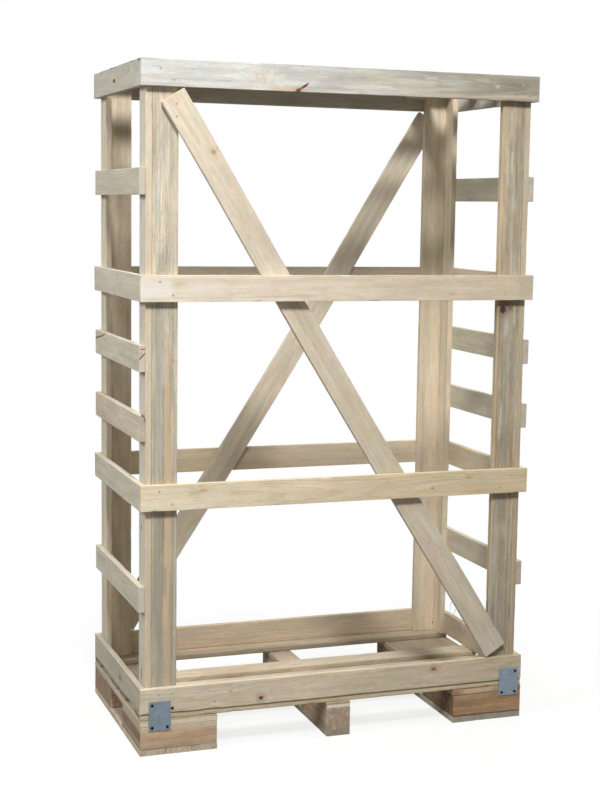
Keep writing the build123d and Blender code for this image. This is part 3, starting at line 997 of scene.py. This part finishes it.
DECK_BACK = 4.5 * MM  # the front of the deck shows this far behind the rail that stands on it
BOTTOM_GAP = 0.8 * MM  # between the boards under an outer foot, swollen nearly shut
BOTTOM_BOARDS = 3
WANES = {  # where the round of the log comes in along the board, and how far it cuts the corner
    "slat_left_2": {"corner": 3, "span": (0.235, 0.31), "depth": 17 * MM, "tall": 1.9},
}
ARRISES = {
    "bottom_rail": 1.6 * MM,
    "deck_board": 2.4 * MM,
    "stringer": 1.8 * MM,
    "block": 1.5 * MM,
    "bottom_board": 1.0 * MM,
}
CHIPS = {  # corner, then in mm the place along the board, half length and depth
    "top_rail_left": ((0, -44, 35, 3), (0, 209, 26, 3), (0, 287, 14, 4)),
    "top_rail_front": ((1, -153, 8, 3.5),),
    "bottom_rail_left": ((1, 240, 160, 5), (1, -120, 200, 2.5)),
    "bottom_rail_front": ((1, -540, 90, 3),),
    "slat_left_3": ((0, -170, 12, 3),),
    "upper_belt_front": ((1, -262, 5, 3.5),),
}
LOG_STEP = 7.7  # metres along the log from one node's wood to the next
BOARD_STEP = 2.3  # and from one board to the next in a node
SEED_STEP = 31
BLOCK_PITH = (0.3, (0.2, 2.0))  # of half its width and half its height


def finish_board(mesh, node, half_length):
    """Puts a board in the place of its node."""
    material = pine_material(f"{node}_pine", node, half_length)
    body = "lid" if node.startswith("lid") else "crate"
    piece = finish_piece(mesh, f"{node}_sawn", material, body)
    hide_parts(node)


def dress_board(node, seed):
    """Replaces a board's node by a sawn board with its own finish."""
    low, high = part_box(node)
    if node == "deck_board_1":
        low = low + Y * DECK_BACK
    size = high - low
    axes = axes_of(node, size)
    middle = (low + high) / 2
    long, wide, thick = (abs(axis.dot(size)) for axis in axes)
    shifts = (0,)
    if node.startswith("bottom_boards"):
        wide = (wide - BOTTOM_GAP * (BOTTOM_BOARDS - 1)) / BOTTOM_BOARDS
        shifts = [i - (BOTTOM_BOARDS - 1) / 2 for i in range(BOTTOM_BOARDS)]
    mesh, layers = new_mesh()
    for number, shift in enumerate(shifts):
        board = Board(
            (long, wide, thick), seed * SEED_STEP + number, of_group(ARRISES, node, ARRIS),
            CHIPS.get(node, ()), WANES.get(node),
        )
        if node.startswith("block"):
            side, depths = BLOCK_PITH
            board.pith = (board.half[1] * side, -board.half[2] * board.draw.uniform(*depths))
        place = middle + axes[1] * shift * (wide + BOTTOM_GAP)
        board.lay(mesh, layers, axes, place, seed * LOG_STEP + number * BOARD_STEP)
    finish_board(mesh, node, long / 2)


# ---- braces ---------------------------------------------------------------------------------
BOARD_W = 74 * MM
BOARD_T = 18 * MM
ANGLE_RANGE = (0.2, 1.4)
ANGLE_TRIES = 60
DIP_DIGITS = 4  # places along a brace, to 0.1 mm


def brace_angle(size):
    """The slope of a brace whose outline fits its box, and half its length."""
    low, high = ANGLE_RANGE
    for _ in range(ANGLE_TRIES):
        angle = (low + high) / 2
        by_x = (size[0] - BOARD_W * math.sin(angle)) / math.cos(angle)
        by_z = (size[2] - BOARD_W * math.cos(angle)) / math.sin(angle)
        if by_x > by_z:
            high = angle
        else:
            low = angle
    return angle, by_x / 2


def brace_dip(node, along, out, middle):
    """How far the brace bends inward at a place along it, read from its solid."""
    depths = {}
    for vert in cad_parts[node].data.vertices:
        off = vert.co - middle
        where = round(off.dot(along), DIP_DIGITS)
        depth = BOARD_T / 2 - off.dot(out)
        depths[where] = min(depth, depths.get(where, 1.0))
    places = sorted(depths)

    def dip(x):
        if x <= places[0] or x >= places[-1]:
            return 0.0
        after = next(place for place in places if place > x)
        before = places[places.index(after) - 1]
        share = (x - before) / (after - before)
        return depths[before] + (depths[after] - depths[before]) * share

    return dip


SPLINTERS = {  # root and tip in the board's axes, and how far the tip stands off its face, in mm
    "brace_front": (
        ((745, -36), (772, -67), 6),
        ((775, -36), (798, -68), 3),
        ((830, -36), (843, -61), 7),
    ),
}
SPLINTER_R = 1.7 * MM  # at the root
SPLINTER_THIN = 0.85  # lost on the way to the tip
SPLINTER_SIDES = 5
SPLINTER_STEPS = 9
SPLINTER_FLAT = (0.35, 0.8)  # across and out, of its radius
SPLINTER_TWIST = 1.7
SPLINTER_SAG = 9 * MM
SPLINTER_EVEN = 0.4  # less sag towards the tip
SPLINTER_ROOT_DEPTH = 4 * MM  # behind the face of the board
SPLINTER_TINT_AT = 0.9  # of the board's half width
SPLINTER_LOG = 7.0  # metres along the log


def add_splinter(mesh, layers, axes, middle, board, root, tip, proud):
    """A torn strip of wood that curls away from the edge of a board."""
    depth = board.half[2] - SPLINTER_ROOT_DEPTH
    start = Vector((root[0] * MM, root[1] * MM, depth))
    end = Vector((tip[0] * MM, tip[1] * MM, depth + proud * MM))
    rings = []
    for step in range(SPLINTER_STEPS):
        share = step / (SPLINTER_STEPS - 1)
        place = start.lerp(end, share)
        place.x -= SPLINTER_SAG * math.sin(math.pi * share) * (1 - SPLINTER_EVEN * share)
        radius = SPLINTER_R * (1 - SPLINTER_THIN * share)
        ring = []
        for side in range(SPLINTER_SIDES):
            turn = 2 * math.pi * side / SPLINTER_SIDES + SPLINTER_TWIST * share
            flat, thick = (part * math.sin(turn) for part in SPLINTER_FLAT)
            spot = place + Vector((math.cos(turn), flat, thick)) * radius
            world = middle + axes[0] * spot.x + axes[1] * spot.y + axes[2] * spot.z
            vert = mesh.verts.new(world)
            vert[layers["spot"]] = Vector((spot.x, board.half[1] * SPLINTER_TINT_AT, 0))
            vert[layers["log"]] = Vector((spot.y * 2 + SPLINTER_LOG, spot.x, spot.z))
            ring.append(vert)
        rings.append(ring)
    skin(mesh, rings)


def dress_brace(node, seed):
    """A brace is one long board that bends inward behind the belts."""
    out = OUTWARD[node.split("_")[1]]
    low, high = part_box(node)
    angle, half_length = brace_angle(high - low)
    along = Z.cross(out) * math.cos(angle) - Z * math.sin(angle)
    axes = (along, out.cross(along), out)
    middle = (low + high) / 2
    middle.y = (high.y if out.y > 0 else low.y) - out.y * BOARD_T / 2
    mesh, layers = new_mesh()
    dip = brace_dip(node, along, out, middle)
    board = Board((2 * half_length, BOARD_W, BOARD_T), seed, dip=dip)
    board.lay(mesh, layers, axes, middle, seed * LOG_STEP)
    for root, tip, proud in SPLINTERS.get(node, ()):
        add_splinter(mesh, layers, axes, middle, board, root, tip, proud)
    finish_board(mesh, node, half_length)


# ---- steel ----------------------------------------------------------------------------------
METALS = {  # light and dark tint, metallic, roughness, cells to a metre
    "galvanised": ((0.245, 0.305, 0.36), (0.17, 0.215, 0.26), 0.45, 0.5, 320.0),
    "nail_steel": ((0.50, 0.44, 0.35), (0.34, 0.30, 0.24), 0.0, 0.7, 900.0),
    "black_steel": ((0.03, 0.03, 0.035), (0.012, 0.012, 0.014), 0.3, 0.45, 900.0),
}
CELL_SHARE = 0.35  # of the cells in the coat, whose other part is cloudy
CLOUD_CELLS = 8  # cells to a cloud
CLOUD_DETAIL = 4.0
COAT_RANGE = (0.25, 0.75)
ROUGH_SPREAD = 0.2  # from the dark parts to the light ones
STEEL_BUMP = (0.25, 0.1 * MM)


def steel_material(name):
    """Metal with a mottled coat."""
    tint, dark, metal, rough, grain = METALS[name]
    material, tree = new_material(name)
    place = source(tree, "ShaderNodeTexCoord", "Object")
    cells = result("ShaderNodeTexVoronoi", {"Vector": place, "Scale": grain}, "Color")
    cells = result("ShaderNodeSeparateColor", (cells,))
    inputs = {"Vector": place, "Scale": grain / CLOUD_CELLS, "Detail": CLOUD_DETAIL}
    patch = result("ShaderNodeTexNoise", inputs, "Fac")
    share = calc("MULTIPLY_ADD", cells, CELL_SHARE, patch * (1 - CELL_SHARE))
    share = smooth(share, *COAT_RANGE)
    feed(tree.nodes["Principled BSDF"], {
        "Base Color": mix(share, colour(dark), colour(tint)),
        "Roughness": calc("MULTIPLY_ADD", share, ROUGH_SPREAD, rough - ROUGH_SPREAD / 2),
        "Metallic": metal,
        "Normal": bump(patch, *STEEL_BUMP),
    })
    return material


HEAD_R = 4.3 * MM
HEAD_T = 2.0 * MM
HEAD_EDGE = 0.8 * MM  # rounding of a pan head
HEAD_EDGE_STEPS = 4
HEAD_RING = 0.15 * MM  # between rings on top of the head, fine enough for the recess
HEAD_RINGS = 21
SHANK_R = 2.2 * MM
SHANK_TIP = 5 * MM
RECESS_HALF = (2.3 * MM, 0.45 * MM)  # of each arm of the cross
RECESS_DEPTH = 1.1 * MM
RUST = (0.15, 0.075, 0.04)
RUSTED = 0.85  # of it on a rusty screw
SCREW_SEED = 5
STRAY_LOWER = 0.5 * MM  # the stray screw has no plate under its head
SCREW_SIDES = 56
SCREW_SHARP = math.radians(40)  # steeper edges stay sharp
THREAD_PITCH = 2.4 * MM
THREAD_DEPTH = 0.35 * MM


def screw_profile():
    """Radius and height over the seat, from the middle of the head to the top of the shank."""
    rings = [(HEAD_RING * i, HEAD_T) for i in range(1, HEAD_RINGS + 1)]
    for step in range(HEAD_EDGE_STEPS + 1):
        turn = math.pi / 2 * (1 - step / HEAD_EDGE_STEPS)
        radius = HEAD_R - HEAD_EDGE + HEAD_EDGE * math.cos(turn)
        rings.append((radius, HEAD_T - HEAD_EDGE + HEAD_EDGE * math.sin(turn)))
    return rings + [(HEAD_R, 0.0), (SHANK_R - THREAD_DEPTH, 0.0)]


def add_screw(mesh, tint, seat, out, length, turned, rust):
    """A pan-head screw with a cross recess and a threaded shank."""
    side = Z.cross(out)
    angles = [2 * math.pi * step / SCREW_SIDES for step in range(SCREW_SIDES)]
    cos, sin = math.cos(turned), math.sin(turned)
    rows = []
    for radius, height in screw_profile():
        row = []
        for angle in angles:
            u, v = radius * math.cos(angle), radius * math.sin(angle)
            arm_u = abs(u) < RECESS_HALF[0] and abs(v) < RECESS_HALF[1]
            arm_v = abs(v) < RECESS_HALF[0] and abs(u) < RECESS_HALF[1]
            sunk = RECESS_DEPTH if arm_u or arm_v else 0.0
            place = seat + side * (u * cos - v * sin) + Z * (u * sin + v * cos)
            row.append(mesh.verts.new(place + out * (height - sunk)))
        rows.append(row)
    shank = length - HEAD_T
    turns = int((shank - SHANK_TIP) / THREAD_PITCH)
    for index in range(2 * turns + 1):
        depth = THREAD_PITCH * (index + 1) / 2
        radius = SHANK_R - (THREAD_DEPTH if index % 2 else 0.0)
        row = []
        for angle in angles:
            round_to = side * math.cos(angle + turned) + Z * math.sin(angle + turned)
            row.append(mesh.verts.new(seat + round_to * radius - out * depth))
        rows.append(row)
    centre = mesh.verts.new(seat + out * (HEAD_T - RECESS_DEPTH))
    tip = mesh.verts.new(seat - out * shank)
    skin(mesh, rows, capped=False)
    for i in range(SCREW_SIDES):
        j = (i + 1) % SCREW_SIDES
        mesh.faces.new((centre, rows[0][i], rows[0][j]))
        mesh.faces.new((tip, rows[-1][j], rows[-1][i]))
    for vert in [centre, tip] + [vert for row in rows for vert in row]:
        vert[tint] = rust


def islands(mesh):
    """The separate solids of a mesh, as groups of places."""
    source = bmesh.new()
    source.from_mesh(mesh)
    seen = set()
    groups = []
    for start in source.verts:
        if start in seen:
            continue
        seen.add(start)
        todo = [start]
        group = []
        while todo:
            vert = todo.pop()
            group.append(vert.co.copy())
            for edge in vert.link_edges:
                other = edge.other_vert(vert)
                if other not in seen:
                    seen.add(other)
                    todo.append(other)
        groups.append(group)
    source.free()
    return groups


def dress_screws():
    """Real heads and threads on the screws, where their solids stand."""
    mesh = bmesh.new()
    tint = mesh.verts.layers.float.new("rust")
    draw = random.Random(SCREW_SEED)
    groups = islands(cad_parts["plate_screws"].data)
    groups.sort(key=lambda group: (round(group[0].y, 2), round(group[0].x, 3), group[0].z))
    for group in groups:
        low = Vector([min(place[i] for place in group) for i in range(3)])
        high = Vector([max(place[i] for place in group) for i in range(3)])
        middle = (low + high) / 2
        out = Y if middle.y > 0 else -Y
        outer = high.y if middle.y > 0 else -low.y
        seat = Vector((middle.x, out.y * (outer - HEAD_T), middle.z))
        stray = outer < max(abs(cad_box[0][1]), abs(cad_box[1][1])) - STRAY_LOWER
        rust = 1.0 if stray else 0.0
        add_screw(mesh, tint, seat, out, high.y - low.y, draw.uniform(0, math.pi / 2), rust)
    material = steel_material("black_steel")
    shader = material.node_tree.nodes["Principled BSDF"]
    black = Wire(shader.inputs["Base Color"].links[0].from_socket)
    rusted = attribute(material.node_tree, "rust") * RUSTED
    feed(shader, {"Base Color": mix(rusted, black, colour(RUST))})
    piece = finish_piece(mesh, "screws_driven", material, "crate")
    sharp = piece.modifiers.new("sharp", "EDGE_SPLIT")
    sharp.split_angle = SCREW_SHARP
    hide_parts("plate_screws")


KEPT_STEEL = {  # nodes whose solids are shown, and their finish
    "joining_plates": "galvanised",
    "frame_nails": "nail_steel",
    "lid_nails": "nail_steel",
}
STEEL_EDGE = 0.3 * MM
STEEL_EDGE_STEPS = 2


def dress_steel():
    """Finishes for the plates and nails."""
    finishes = {name: steel_material(name) for name in dict.fromkeys(KEPT_STEEL.values())}
    for node, finish in KEPT_STEEL.items():
        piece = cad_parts[node]
        piece.data.materials.clear()
        piece.data.materials.append(finishes[finish])
        soft = piece.modifiers.new("soft_edges", "BEVEL")
        soft.width = STEEL_EDGE
        soft.segments = STEEL_EDGE_STEPS
        soft.limit_method = "ANGLE"


# ---- floor and light ------------------------------------------------------------------------
FLOOR_HALF = 30.0
FLOOR_FADE = (0.4, 1.8)  # from the crate, where the floor turns into the white surround
FLOOR_WHITE = 0.80  # of the surround's white that the camera sees in the floor by the crate
FLOOR_TINT = (0.88, 0.88, 0.88)
FLOOR_BOUNCE = (0.24, 0.23, 0.22)  # what the floor gives back to the crate
FLOOR_ROUGH = 0.9
WHITE = (1, 1, 1)
LOOK_AT = Vector((0, 0, 1.0))
LAMPS = {  # place, size, watts, tint
    "key": ((-1.0, -3.9, 5.4), 1.2, 345.0, (1.0, 0.985, 0.96)),
    "fill": ((-4.3, -0.9, 4.0), 2.2, 150.0, (0.95, 0.98, 1.0)),
    "back": ((2.6, 4.4, 3.8), 2.4, 150.0, (1.0, 0.99, 0.97)),
}
SURROUND = (0.16, (0.97, 0.98, 1.0))  # strength and tint of the light from all round


SEEING = ("Camera", "Glossy", "Transmission")  # rays that see the white surround


def seen_share(tree):
    """1 for the rays that see the white surround, 0 for those that light the crate."""
    rays = new_node(tree, "ShaderNodeLightPath", {}).outputs
    camera, gloss, glass = (Wire(rays[f"Is {kind} Ray"]) for kind in SEEING)
    return calc("MAXIMUM", calc("MAXIMUM", camera, gloss), glass)


def blend(share, first, second):
    inputs = (share, Wire(first.outputs[0]), Wire(second.outputs[0]))
    return result("ShaderNodeMixShader", inputs)


def add_floor():
    """A plain pale floor, which turns white for the camera away from the crate."""
    material, tree = new_material("floor")
    shader = tree.nodes["Principled BSDF"]
    seen = seen_share(tree)
    tint = mix(seen, colour(FLOOR_BOUNCE), colour(FLOOR_TINT))
    feed(shader, {"Base Color": tint, "Roughness": FLOOR_ROUGH})
    place = source(tree, "ShaderNodeTexCoord", "Object")
    away = smooth(calc("LENGTH", place), *FLOOR_FADE)
    away = calc("MULTIPLY_ADD", away, 1 - FLOOR_WHITE, FLOOR_WHITE)
    white = new_node(tree, "ShaderNodeEmission", {"Color": colour(WHITE)})
    feed(tree.nodes["Material Output"], {0: blend(away * seen, shader, white)})
    mesh = bmesh.new()
    bmesh.ops.create_grid(mesh, x_segments=1, y_segments=1, size=FLOOR_HALF)
    data = bpy.data.meshes.new("floor")
    mesh.to_mesh(data)
    mesh.free()
    floor = add_object("floor", data)
    data.materials.append(material)


def add_lamp(name, place, size, power, tint):
    """A round soft lamp that shines at the middle of the crate."""
    data = bpy.data.lights.new(name, "AREA")
    data.shape = "DISK"
    data.size = size
    data.energy = power
    data.color = tint
    lamp = add_object(name, data)
    lamp.location = place
    lamp.rotation_euler = (LOOK_AT - Vector(place)).to_track_quat("-Z", "Y").to_euler()


def add_world(strength, tint):
    """Even light from all round, which the camera sees as white."""
    world = bpy.data.worlds.new("surround")
    bpy.context.scene.world = world
    world.use_nodes = True
    tree = world.node_tree
    tree.nodes.clear()
    inputs = {"Color": colour(tint), "Strength": strength}
    light = new_node(tree, "ShaderNodeBackground", inputs)
    white = new_node(tree, "ShaderNodeBackground", {"Color": colour(WHITE)})
    new_node(tree, "ShaderNodeOutputWorld", {0: blend(seen_share(tree), light, white)})


# ---- making it ------------------------------------------------------------------------------
add_camera()
for seed, node in enumerate(sorted(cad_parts), start=1):
    if node == "plate_screws" or node in KEPT_STEEL:
        continue
    if node.startswith("brace"):
        dress_brace(node, seed)
    else:
        dress_board(node, seed)
dress_screws()
dress_steel()
add_floor()
for name, lamp in LAMPS.items():
    add_lamp(name, *lamp)
add_world(*SURROUND)
bpy.context.scene.view_settings.view_transform = "Standard"
